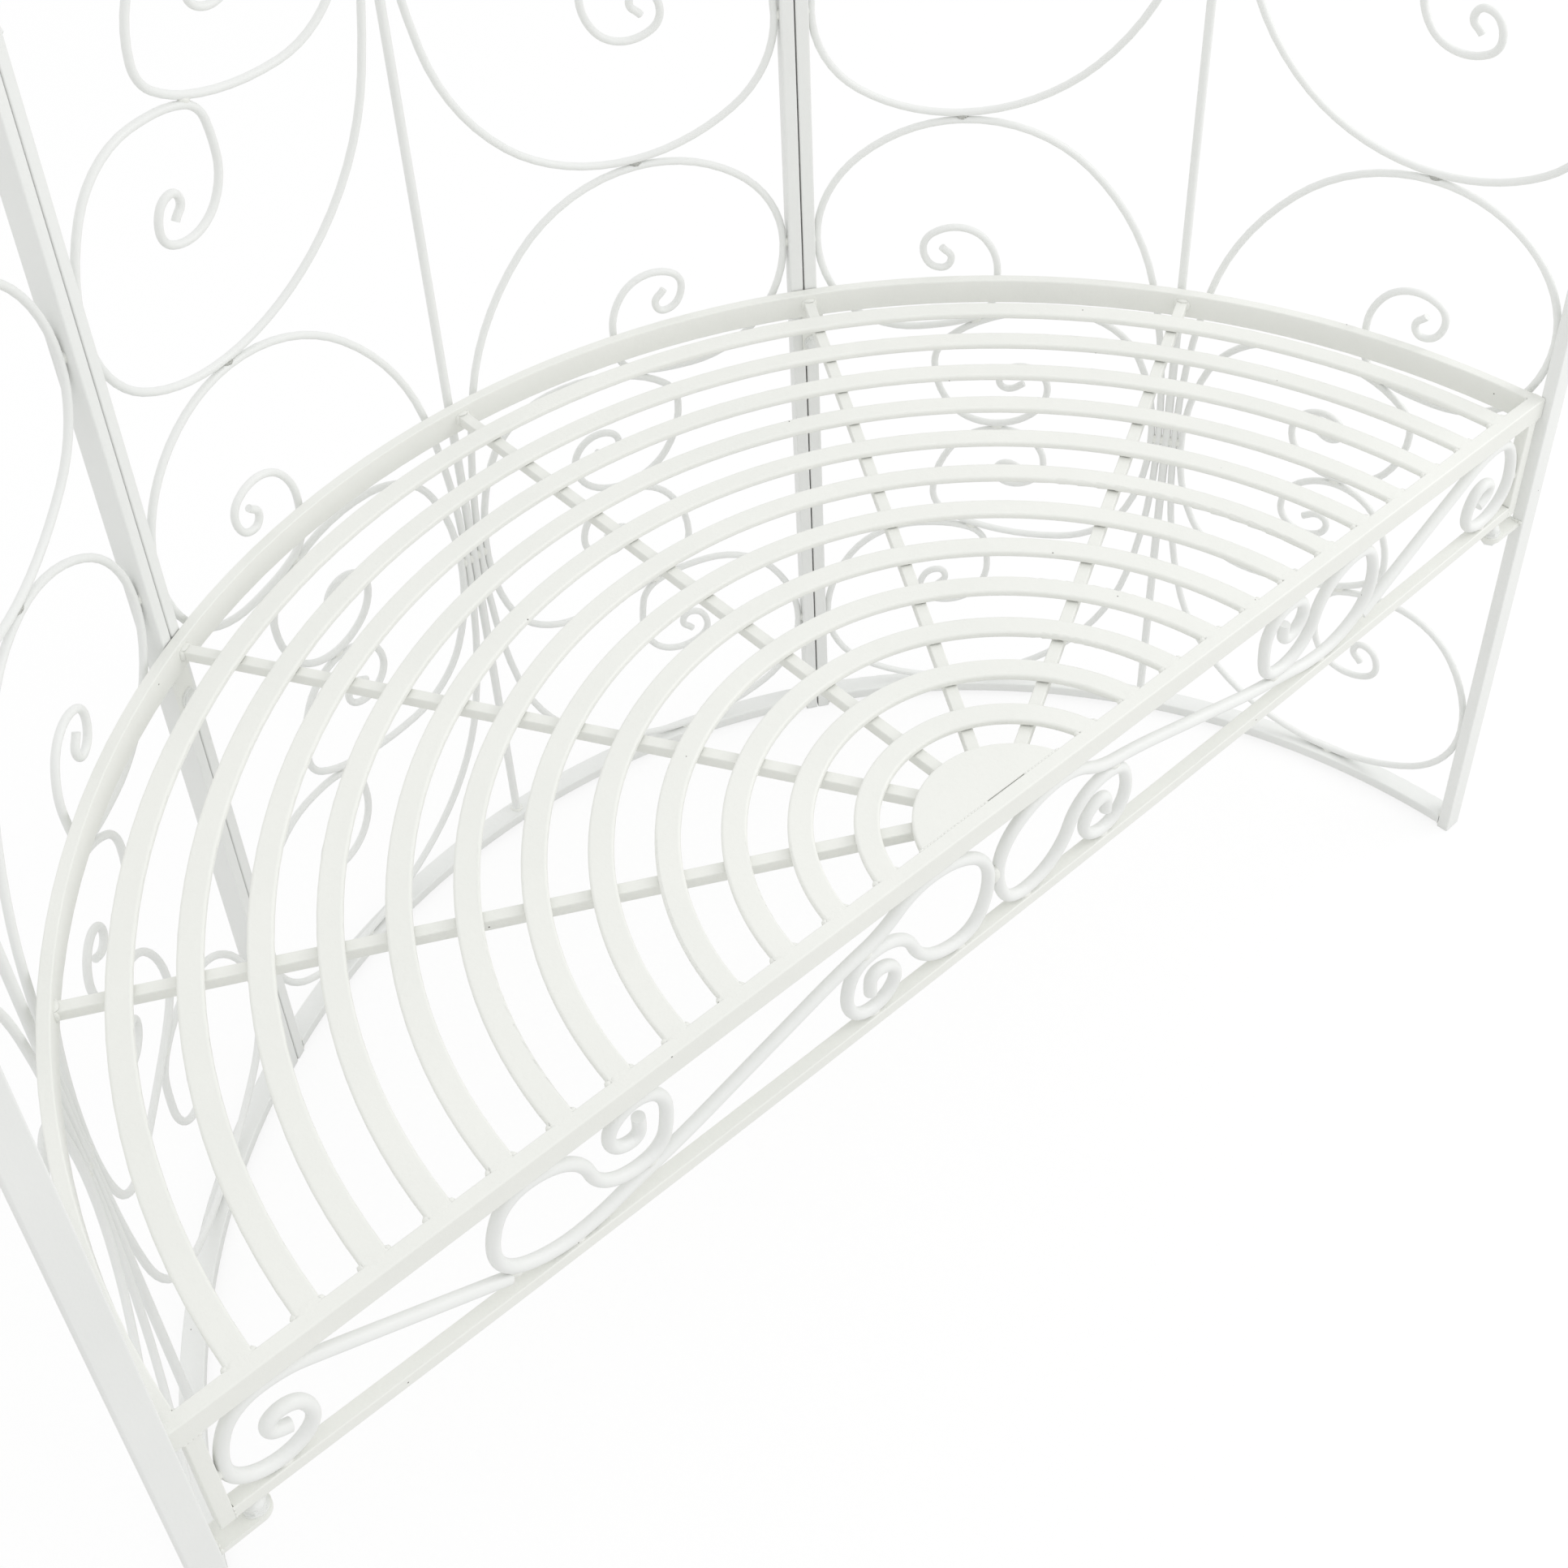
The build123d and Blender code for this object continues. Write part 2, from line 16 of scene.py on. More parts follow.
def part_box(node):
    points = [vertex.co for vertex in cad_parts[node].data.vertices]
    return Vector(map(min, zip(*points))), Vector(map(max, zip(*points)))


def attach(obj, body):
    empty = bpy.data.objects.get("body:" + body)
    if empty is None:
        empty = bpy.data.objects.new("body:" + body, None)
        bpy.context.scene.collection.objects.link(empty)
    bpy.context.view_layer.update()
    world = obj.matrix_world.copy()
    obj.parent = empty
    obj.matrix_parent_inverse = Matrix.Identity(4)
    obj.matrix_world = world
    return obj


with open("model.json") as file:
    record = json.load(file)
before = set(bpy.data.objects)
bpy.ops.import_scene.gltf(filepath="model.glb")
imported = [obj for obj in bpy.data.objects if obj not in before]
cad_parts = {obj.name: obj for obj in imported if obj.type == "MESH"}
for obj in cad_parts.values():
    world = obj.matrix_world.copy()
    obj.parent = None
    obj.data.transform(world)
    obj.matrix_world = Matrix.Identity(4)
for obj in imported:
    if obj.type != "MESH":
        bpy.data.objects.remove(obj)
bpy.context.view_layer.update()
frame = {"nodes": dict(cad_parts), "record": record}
print("pieces in the frame:", len(frame["nodes"]))

# %% [markdown]
# ## The plan of the gazebo
# Three curved panels stand on a half circle, and the bench fills that half circle.
# The plan could be typed in again, but then it could drift away from the solids.
# It is read from the boxes of a few pieces instead, in metres.

# %% Read the plan from the pieces
WELD_GAP = 0.0003

bar_low, bar_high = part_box("seat_front_bar")
rail_low, rail_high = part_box("middle_panel_bottom_rail")
tube_thin = bar_high.y - bar_low.y
tube_deep = bar_high.z - bar_low.z
clear_radius = bar_high.x + WELD_GAP
panel_radius = clear_radius + tube_deep / 2
centre = Vector((0, rail_high.y - clear_radius - tube_deep, 0))
seat_top = bar_high.z
print(f"clear radius {clear_radius:.4f} m, tube {tube_thin:.4f} x {tube_deep:.4f} m, seat {seat_top:.4f} m")

# %% [markdown]
# ## The camera
# The picture is taken standing at the left of the open front, looking down across the bench.
# A camera can be pointed with a Track To constraint, but three named angles are easier to read
# and can hold the small roll of a hand-held shot. The lens shift frames the bench the same way.

# %% Set the camera
CAMERA_PLACE = Vector((-0.6445, -0.8222, 1.4031))
CAMERA_HEADING = 40.85
CAMERA_PITCH = 41.52
CAMERA_ROLL = 2.38
LENS_MM = 50.54
SENSOR_MM = 36.0
SHIFT_RIGHT = -0.0057
SHIFT_UP = -0.1437
NEAREST_SEEN = 0.02

camera = bpy.data.objects.new("camera", bpy.data.cameras.new("camera"))
camera.data.lens = LENS_MM
camera.data.sensor_width = SENSOR_MM
camera.data.shift_x = SHIFT_RIGHT
camera.data.shift_y = SHIFT_UP
camera.data.clip_start = NEAREST_SEEN
# an unturned camera looks straight down, so a level view is a tilt of 90 degrees
turn = Matrix.Rotation(math.radians(-CAMERA_HEADING), 4, "Z")
tilt = Matrix.Rotation(math.radians(90 - CAMERA_PITCH), 4, "X")
roll = Matrix.Rotation(math.radians(-CAMERA_ROLL), 4, "Z")
camera.matrix_world = Matrix.Translation(CAMERA_PLACE) @ turn @ tilt @ roll
scene = bpy.context.scene
scene.collection.objects.link(camera)
scene.camera = camera
scene.view_settings.view_transform = "Standard"
print("camera stands at", tuple(round(value, 3) for value in CAMERA_PLACE))

# %% [markdown]
# ## The floor
# The gazebo stands on a plain white studio floor. A curved backdrop is the usual way in a studio,
# but the camera looks down so far that it only sees floor, so one wide flat square will do.
# It lies a hair below the feet, so that the two faces don't flicker in each other.

# %% Lay the floor
FLOOR_HALF = 25.0
FLOOR_DROP = 0.0005

floor_mesh = bpy.data.meshes.new("studio_floor")
corner_signs = [(-1, -1), (1, -1), (1, 1), (-1, 1)]
floor_corners = [(x * FLOOR_HALF, y * FLOOR_HALF, -FLOOR_DROP) for x, y in corner_signs]
floor_mesh.from_pydata(floor_corners, [], [(0, 1, 2, 3)])
floor = bpy.data.objects.new("studio_floor", floor_mesh)
scene.collection.objects.link(floor)
print("floor is", 2 * FLOOR_HALF, "m wide")

# %% [markdown]
# ## A helper for shader nodes
# A material is a little network of nodes. Setting every node in full takes many lines and hides
# the recipe, so one helper adds a node and sets its fixed values by their names in Blender.


# %% Helper for shader nodes
def add_node(tree, kind, settings=None, **sockets):
    """Adds one shader node, sets its properties, then its sockets by name."""
    node = tree.nodes.new(kind)
    for name, value in (settings or {}).items():
        setattr(node, name, value)
    for name, value in sockets.items():
        node.inputs[name.replace("_", " ")].default_value = value
    return node


print("node helper ready")

# %% [markdown]
# ## White for the floor
# A floor lit only by lamps would look grey beside white paint. So the Light Path node tells apart
# the rays that come straight from the camera: they see mostly plain white and only a share of the
# real shading, which keeps a soft shadow. All other rays meet an ordinary matt floor.

# %% Paint the floor
PURE_WHITE = (1, 1, 1, 1)
FLOOR_COLOUR = (0.78, 0.78, 0.77)
SHADOW_SHARE = 0.16

floor_paint = bpy.data.materials.new("studio_floor")
floor_paint.use_nodes = True
tree = floor_paint.node_tree
tree.nodes.clear()
path = add_node(tree, "ShaderNodeLightPath")
matt = add_node(tree, "ShaderNodeBsdfDiffuse", Color=(*FLOOR_COLOUR, 1))
pale = add_node(tree, "ShaderNodeBsdfDiffuse", Color=PURE_WHITE)
glow = add_node(tree, "ShaderNodeEmission", Color=PURE_WHITE, Strength=1.0)
seen = add_node(tree, "ShaderNodeMixShader", Fac=SHADOW_SHARE)
whole = add_node(tree, "ShaderNodeMixShader")
out = add_node(tree, "ShaderNodeOutputMaterial")
tree.links.new(glow.outputs[0], seen.inputs[1])
tree.links.new(pale.outputs[0], seen.inputs[2])
tree.links.new(path.outputs["Is Camera Ray"], whole.inputs[0])
tree.links.new(matt.outputs[0], whole.inputs[1])
tree.links.new(seen.outputs[0], whole.inputs[2])
tree.links.new(whole.outputs[0], out.inputs["Surface"])
floor_mesh.materials.append(floor_paint)
print("floor keeps", SHADOW_SHARE, "of the shadow")

# %% [markdown]
# ## The sky
# The picture has soft studio light, pale from every side. Many lamps could give that, but one white
# sky does it evenly. It shows as plain white to the camera, and to rays that mirror or pass through,
# and as its weaker self to everything that it lights.

# %% Set the sky
SKY_STRENGTH = 0.945

world = bpy.data.worlds.new("studio")
scene.world = world
world.use_nodes = True
tree = world.node_tree
tree.nodes.clear()
path = add_node(tree, "ShaderNodeLightPath")
either = add_node(tree, "ShaderNodeMath", {"operation": "MAXIMUM"})
any_clear = add_node(tree, "ShaderNodeMath", {"operation": "MAXIMUM"})
lit = add_node(tree, "ShaderNodeBackground", Color=PURE_WHITE, Strength=SKY_STRENGTH)
shown = add_node(tree, "ShaderNodeBackground", Color=PURE_WHITE, Strength=1.0)
choose = add_node(tree, "ShaderNodeMixShader")
out = add_node(tree, "ShaderNodeOutputWorld")
tree.links.new(path.outputs["Is Camera Ray"], either.inputs[0])
tree.links.new(path.outputs["Is Glossy Ray"], either.inputs[1])
tree.links.new(either.outputs[0], any_clear.inputs[0])
tree.links.new(path.outputs["Is Transmission Ray"], any_clear.inputs[1])
tree.links.new(any_clear.outputs[0], choose.inputs[0])
tree.links.new(lit.outputs[0], choose.inputs[1])
tree.links.new(shown.outputs[0], choose.inputs[2])
tree.links.new(choose.outputs[0], out.inputs["Surface"])
print("sky lights with a strength of", SKY_STRENGTH)

# %% [markdown]
# ## The lamp
# The light is a little stronger from the right. A small lamp would throw hard shadows on the floor,
# so one large round lamp stands there, and gives the soft fall-off along the bench.

# %% Hang the lamp
LAMP_PLACE = Vector((1.9, -1.3, 1.7))
LAMP_TARGET = Vector((0.35, -0.15, 0.45))
LAMP_SIZE = 1.6
LAMP_WATTS = 14.0

lamp = bpy.data.objects.new("window_light", bpy.data.lights.new("window_light", "AREA"))
lamp.data.shape = "DISK"
lamp.data.size = LAMP_SIZE
lamp.data.energy = LAMP_WATTS
lamp.location = LAMP_PLACE
lamp.rotation_euler = (LAMP_TARGET - LAMP_PLACE).to_track_quat("-Z", "Y").to_euler()
scene.collection.objects.link(lamp)
print("lamp of", LAMP_WATTS, "watts at the right")

# %% [markdown]
# ## Helpers for the paint
# Paint is built up from patterns. Four small helpers hold what every coat repeats: a cloudy pattern,
# a pattern stretched to another range, two colours mixed by a pattern, and a pattern raised as a bump.


# %% Helpers for the paint
def cloudy(tree, place, per_metre, detail, roughness):
    """A soft cloudy pattern with about this many clouds to the metre."""
    node = add_node(tree, "ShaderNodeTexNoise", Scale=per_metre, Detail=detail, Roughness=roughness)
    tree.links.new(place, node.inputs["Vector"])
    return node.outputs[0]


def stretched(tree, pattern, low, high, new_low=0.0, new_high=1.0):
    """Stretches the range low to high of a pattern to a new range, and holds it at the ends."""
    node = add_node(
        tree, "ShaderNodeMapRange", From_Min=low, From_Max=high, To_Min=new_low, To_Max=new_high
    )
    tree.links.new(pattern, node.inputs["Value"])
    return node.outputs[0]


def mix_colours(tree, pattern, first, second):
    """Mixes two colours by a pattern; a colour is either a socket or three plain numbers."""
    mix = add_node(tree, "ShaderNodeMix", {"data_type": "RGBA"})
    tree.links.new(pattern, mix.inputs[0])
    # a colour mix takes its colours at sockets 6 and 7, and gives the result at output 2
    for socket, colour in ((mix.inputs[6], first), (mix.inputs[7], second)):
        if isinstance(colour, tuple):
            socket.default_value = (*colour, 1)
        else:
            tree.links.new(colour, socket)
    return mix.outputs[2]


def raised(tree, pattern, strength, height, over=None, inward=False):
    """Raises a pattern as a bump, or presses it inward, over another bump where there is one."""
    node = add_node(tree, "ShaderNodeBump", {"invert": inward}, Strength=strength, Distance=height)
    tree.links.new(pattern, node.inputs["Height"])
    if over is not None:
        tree.links.new(over, node.inputs["Normal"])
    return node.outputs[0]


print("paint helpers ready")

# %% [markdown]
# ## Tone and pits of the paint
# The gazebo wears white enamel over black iron. A single colour would look like plastic: the real
# coat drifts a little in tone over a hand's width, and tight corners are greyed with painted shade.
# Tiny pits show the iron. A painted picture of all this would need unwrapped pieces, so
# patterns that follow the place on each piece are used instead.

# %% Tone and pits
DRIFT_PER_METRE = 7.0
DRIFT_RANGE = (0.35, 0.65)
CORNER_REACH = 0.004
CORNER_SAMPLES = 4
CORNER_RANGE = (0.12, 0.5)
# painted shade in tight corners: how much of it there is, and its grey
CORNER_SHADE_SHARE = 0.45
CORNER_SHADE_COLOUR = (0.60, 0.605, 0.58)
PIT_FLOOR = 0.6


def enamel_tone_and_shade(tree, place, tones):
    """Colour of the coat: it drifts between its two tones, and painted shade greys it in tight corners."""
    drift = cloudy(tree, place, DRIFT_PER_METRE, detail=3.0, roughness=0.55)
    tone = mix_colours(tree, stretched(tree, drift, *DRIFT_RANGE), *tones)
    # painted shade: ambient occlusion greys the coat where corners are tight
    corner = add_node(
        tree, "ShaderNodeAmbientOcclusion", {"samples": CORNER_SAMPLES}, Distance=CORNER_REACH
    )
    corner_shade = stretched(tree, corner.outputs["AO"], *CORNER_RANGE, CORNER_SHADE_SHARE, 0.0)
    return mix_colours(tree, corner_shade, tone, CORNER_SHADE_COLOUR)


def paint_pits(tree, place, pits_per_metre, pit_radius):
    """A round speck at each point of a coarse cell pattern, dark over most of its radius."""
    cells = add_node(tree, "ShaderNodeTexVoronoi", Scale=pits_per_metre)
    tree.links.new(place, cells.inputs["Vector"])
    pit_edge = pit_radius * pits_per_metre
    return stretched(tree, cells.outputs["Distance"], PIT_FLOOR * pit_edge, pit_edge, 1.0, 0.0)


print("tone drifts", DRIFT_PER_METRE, "times in a metre")

# %% [markdown]
# ## One recipe for every coat
# Enamel that is brushed and dipped dries with soft lumps over the mill scale, duller on their tops,
# and with a fine pebble. These are too low to change an outline, so bumps in the shader are enough.
# One recipe makes all the coats, and each part of the gazebo gets its own amounts.

# %% Write the recipe
PIT_COLOUR = (0.16, 0.145, 0.13)
PIT_DEPTH = 0.0006
PIT_STRENGTH = 0.8
LUMP_STRENGTH = 0.55
LUMP_RANGE = (0.3, 0.7)
PEBBLES_PER_METRE = 620.0
PEBBLE_HEIGHT = 0.00018
PEBBLE_STRENGTH = 0.35
GLOSSIER = 0.07
DULLER = 0.09


def white_paint(
    name, tones, lumps_per_metre, lump_height, roughness, pits_per_metre, pit_radius,
    stretch=(1, 1, 1), pebble_height=PEBBLE_HEIGHT,
):
    """One coat of white enamel; lumps and pits follow the place on the piece in metres."""
    paint = bpy.data.materials.new(name)
    paint.use_nodes = True
    tree = paint.node_tree
    shader = tree.nodes["Principled BSDF"]
    place = add_node(tree, "ShaderNodeTexCoord").outputs["Object"]

    pits = paint_pits(tree, place, pits_per_metre, pit_radius)
    # the drifting tone with its painted corner shade, then the pits
    tone = mix_colours(tree, pits, enamel_tone_and_shade(tree, place, tones), PIT_COLOUR)
    tree.links.new(tone, shader.inputs["Base Color"])

    brushed = add_node(tree, "ShaderNodeMapping", Scale=stretch)
    tree.links.new(place, brushed.inputs["Vector"])
    lumps = cloudy(tree, brushed.outputs[0], lumps_per_metre, detail=4.0, roughness=0.6)
    gloss = stretched(tree, lumps, *LUMP_RANGE, roughness - GLOSSIER, roughness + DULLER)
    tree.links.new(gloss, shader.inputs["Roughness"])

    pebble = cloudy(tree, place, PEBBLES_PER_METRE, detail=2.0, roughness=0.5)
    relief = raised(tree, lumps, LUMP_STRENGTH, lump_height)
    relief = raised(tree, pebble, PEBBLE_STRENGTH, pebble_height, over=relief)
    relief = raised(tree, pits, PIT_STRENGTH, PIT_DEPTH, over=relief, inward=True)
    tree.links.new(relief, shader.inputs["Normal"])
    return paint


print("recipe ready, pebble of", PEBBLE_HEIGHT, "m")

# %% [markdown]
# ## The coats
# The bench is painted a slightly warmer white than the panels, as painted warm light on the front,
# and the panels' cooler white is painted cool light on the rear. On the posts the brush ran up and
# down, so their lumps are drawn out in height. The thin rods dry smoothest, and the welds roughest.

# %% Mix the coats
# the brightest and the dullest tone of each white; the cool pair is painted cool light, the warm pair
# painted warm light
WHITE_IN_COOL_LIGHT = ((0.872, 0.882, 0.866), (0.846, 0.857, 0.842))
WHITE_IN_WARM_LIGHT = ((0.872, 0.879, 0.839), (0.845, 0.854, 0.815))

coats = {
    "frame": white_paint(
        "frame_enamel", WHITE_IN_COOL_LIGHT, lumps_per_metre=38.0, lump_height=0.0011, roughness=0.40,
        pits_per_metre=26.0, pit_radius=0.0005, stretch=(1, 1, 0.25),
    ),
    "bench": white_paint(
        "bench_enamel", WHITE_IN_WARM_LIGHT, lumps_per_metre=55.0, lump_height=0.0012, roughness=0.42,
        pits_per_metre=34.0, pit_radius=0.0006,
    ),
    "scrollwork": white_paint(
        "rod_enamel", WHITE_IN_COOL_LIGHT, lumps_per_metre=80.0, lump_height=0.0002, roughness=0.44,
        pits_per_metre=30.0, pit_radius=0.0005, pebble_height=0.00003,
    ),
    "fasteners": white_paint(
        "bolt_enamel", WHITE_IN_COOL_LIGHT, lumps_per_metre=190.0, lump_height=0.0012, roughness=0.46,
        pits_per_metre=60.0, pit_radius=0.0006,
    ),
}
weld_coat = white_paint(
    "weld_enamel", WHITE_IN_WARM_LIGHT, lumps_per_metre=210.0, lump_height=0.0009, roughness=0.46,
    pits_per_metre=120.0, pit_radius=0.00045,
)
print("coats mixed:", ", ".join(coats), "and welds")

# %% [markdown]
# ## Painting the solids
# Every solid already names its coat in the record that comes with the frame.
# Looking the coat up there keeps the paint list in one place, however many pieces there are.

# %% Paint the solids
coat_of = {part["node"]: part["material_slot"] for part in frame["record"]["subparts"]}
for name, piece in frame["nodes"].items():
    piece.data.materials.clear()
    piece.data.materials.append(coats[coat_of[name]])
print("painted", len(coat_of), "solids")

# %% [markdown]
# ## Weld blobs
# Where two rods touch, a welder leaves a small blob that bridges them, and the brush runs over it.
# Blobs could be bumps in the paint, but they change the outline, so they are real lumps here:
# a ball that is stretched along the joint and swollen unevenly by smooth noise.
# A longer weld is a row of such lumps that overlap.

# %% Helpers for weld blobs
UNEVENNESS = 0.2
SWELLS = 1.6
FINE_SWELLS = 4.1
FINE_SHARE = 0.4
SEED_SCALE = 61.0
BEAD_SPACING = 0.0028
BEAD_OVERLAP = 0.8


def weld_blob(mesh, place, along, across, halves, detail=2):
    """Adds one uneven lump; halves are its half sizes along the joint, across it, and outward."""
    outward = along.cross(across)
    seed = place * SEED_SCALE
    for vertex in bmesh.ops.create_icosphere(mesh, subdivisions=detail, radius=1)["verts"]:
        ray = vertex.co.normalized()
        broad = UNEVENNESS * noise.noise(ray * SWELLS + seed)
        fine = FINE_SHARE * UNEVENNESS * noise.noise(ray * FINE_SWELLS + seed)
        shift = along * ray.x * halves[0] + across * ray.y * halves[1] + outward * ray.z * halves[2]
        vertex.co = place + shift * (1 + broad + fine)


def weld_seam(mesh, start, end, across, half_width):
    """Adds a row of overlapping lumps from start to end, as a short bead of weld."""
    run = end - start
    count = max(2, round(run.length / BEAD_SPACING))
    along = run.normalized()
    halves = (BEAD_OVERLAP * BEAD_SPACING, half_width, half_width)
    for step in range(count + 1):
        weld_blob(mesh, start + run * (step / count), along, across, halves, detail=1)


print("a bead has a lump every", BEAD_SPACING, "m")

# %% [markdown]
# ## From lumps to a piece
# Each lump could be an object, but hundreds of objects are slow to handle. A welder makes the welds
# of one panel in one go, so all the lumps of a panel, of the seat or of the apron share one mesh.


# %% Helper for a weld piece
def finish_welds(mesh, name):
    """Turns the collected lumps into one painted piece that stands with the gazebo."""
    data = bpy.data.meshes.new(name)
    mesh.to_mesh(data)
    mesh.free()
    data.polygons.foreach_set("use_smooth", [True] * len(data.polygons))
    data.materials.append(weld_coat)
    piece = bpy.data.objects.new(name, data)
    scene.collection.objects.link(piece)
    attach(piece, "root")
    print(name, "has", len(data.vertices), "points")


print("welds wear", weld_coat.name)

# %% [markdown]
# ## The lie of the panels
# Each panel is bent to the half circle, so a place on it is counted out along the curve from its
# centre rod, and up from the ground. Flat panels could be dressed first and bent by a modifier,
# but the solids are bent already, so each place is found straight on the curve.

# %% Measure the panels
TIERS = 3
POST_SLIT = 0.001
UP = Vector((0, 0, 1))

top_rail_low, top_rail_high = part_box("middle_panel_top_rail")
tier_height = (top_rail_low.z - rail_high.z) / TIERS
panel_middles = {}
for panel in ("right", "middle", "left"):
    low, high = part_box(f"{panel}_panel_centre_rod")
    rod_place = (low + high) / 2 - centre
    panel_middles[panel] = math.degrees(math.atan2(rod_place.y, rod_place.x))
# the outer two middles lie two panels apart, which is four half panels
panel_half = (panel_middles["left"] - panel_middles["right"]) / 4
post_face_out = panel_radius * math.radians(panel_half) - POST_SLIT / 2 - tube_thin


def heading(degrees):
    """Level direction from the middle of the half circle, 0 to the right and 90 to the back."""
    turn = math.radians(degrees)
    return Vector((math.cos(turn), math.sin(turn), 0))


def panel_frame(middle, out, up):
    """Place on a panel with its sideways direction, out counted from the centre rod."""
    angle = middle + math.degrees(out / panel_radius)
    return centre + heading(angle) * panel_radius + UP * up, heading(angle + 90)


print(f"a panel spans {2 * panel_half:.1f} degrees, a tier is {tier_height:.3f} m high")

# %% [markdown]
# ## Where the scrolls touch
# Each panel has three tiers of scrolls on both sides of its centre rod. A tier is the same above
# and below its waist, so its touching places are listed once for the upper half and then mirrored.
# A touching place is given as a distance out from the centre rod, a height over the waist and
# the slope of the rods there in degrees.

# %% List where the scrolls touch
ROD = 0.0055
CENTRE_ROD = 0.0065
CROWN_OUT = 0.170
SIDE_UP = 0.192
TOUCH_OUT = 0.1549
TOUCH_UP = 0.1053
TOUCH_LEAN = 157
FLOOR_OUT = 0.136

waist_out = CENTRE_ROD / 2 + WELD_GAP / 2
rod_touches = [
    (waist_out, 0, 90),
    (waist_out + ROD + WELD_GAP, 0, 90),
    (CROWN_OUT, tier_height / 2, 0),
    (post_face_out, SIDE_UP, 90),
    (TOUCH_OUT, TOUCH_UP, TOUCH_LEAN),
    (FLOOR_OUT, 0, 0),
]
print("touching places in half a tier:", len(rod_touches))

# %% [markdown]
# ## Welds of the side panels
# On the real panels every touching place of the scrolls has a blob, the centre rod ends in a round
# spot on both rails, and the rails are joined to the posts by a bead along their upper and lower
# edges. Three panels with the same welds could share one mesh, but they would then repeat
# each lump, so each panel gets its own.

# %% Weld the panels
ROD_BLOB = (0.0045, 0.0030, 0.0030)
ROD_END_SPOT = (0.0052, 0.0022, 0.0052)
POST_SEAM = 0.0015
POST_SEAM_REACH = 0.4

for panel, middle in panel_middles.items():
    welds = bmesh.new()
    for tier in range(TIERS):
        waist = rail_high.z + (tier + 0.5) * tier_height
        for side in (-1, 1):
            for out, up, lean in rod_touches:
                slope = math.radians(lean)
                # a place at the waist has no mirror image
                for mirror in ((1, -1) if up else (1,)):
                    place, sideways = panel_frame(middle, side * out, waist + mirror * up)
                    along = sideways * side * math.cos(slope) + UP * mirror * math.sin(slope)
                    across = UP * math.cos(slope) - sideways * side * mirror * math.sin(slope)
                    weld_blob(welds, place, along, across, ROD_BLOB)
    for level in (rail_high.z, top_rail_low.z):
        place, sideways = panel_frame(middle, 0, level)
        weld_blob(welds, place, sideways, UP, ROD_END_SPOT)
    for side in (-1, 1):
        for level in (rail_high.z, rail_low.z, top_rail_low.z, top_rail_high.z):
            place, sideways = panel_frame(middle, side * post_face_out, level)
            depth = sideways.cross(UP) * POST_SEAM_REACH * tube_deep
            weld_seam(welds, place - depth, place + depth, UP, POST_SEAM)
    finish_welds(welds, f"{panel}_panel_welds")

# %% [markdown]
# ## Welds of the slats
# The slats butt against the front bar and are ground level with it, so their welds are low, flat
# caps with a small fillet in each corner. A whole lump would show a hard edge, so each lump is sunk
# until only its flat top stands out.

# %% Weld the slats to the front bar
SLATS = 12
SLAT_WIDTH = 0.015
SLAT_THICK = 0.005
CAP_HALF = 0.0006
CAP_SINK = 0.00047
SLAT_CAP = (0.0073, 0.0062, CAP_HALF)
SLAT_FILLET = (0.0023, 0.0027, 0.0023)
FILLET_BACK = 0.0008
RIGHT = Vector((1, 0, 0))
BACK = Vector((0, 1, 0))

slat_backs = [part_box(f"seat_slat_{number + 1:02d}")[1].y for number in range(SLATS)]
slat_middles = [slat_back - centre.y - SLAT_WIDTH / 2 for slat_back in slat_backs]
bar_back = bar_high.y - centre.y
seat_welds = bmesh.new()
for radius in slat_middles:
    for side in (-1, 1):
        end = centre + Vector((side * math.sqrt(radius ** 2 - bar_back ** 2), bar_back, seat_top))
        weld_blob(seat_welds, end - UP * CAP_SINK, RIGHT, BACK, SLAT_CAP, detail=3)
        for edge in (-1, 1):
            corner = end + RIGHT * edge * SLAT_WIDTH / 2 + BACK * FILLET_BACK - UP * SLAT_THICK / 2
            weld_blob(seat_welds, corner, RIGHT, BACK, SLAT_FILLET)
print("slat ends welded:", 2 * len(slat_middles))

# %% [markdown]
# ## Welds of the spokes
# Five spokes of square bar carry the slats from below. Each ends on the rim in a blob at both sides
# and one on top, and a small spot holds each slat at both sides of the spoke that it crosses.
# The crossing is found by a little geometry, where a line from the hub meets the slat's circle.

# %% Weld the spokes
SPOKES = 5
SPOKE_BAR = 0.008
RIM_THICK = 0.008
SPOKE_SIDE_BLOB = (0.0046, 0.0026, 0.0022)
SPOKE_TOP_BLOB = (0.0046, 0.0030, 0.0012)
CROSSING_SPOT = (0.0034, 0.0013, 0.0011)
CROSSING_DROP = 0.0012

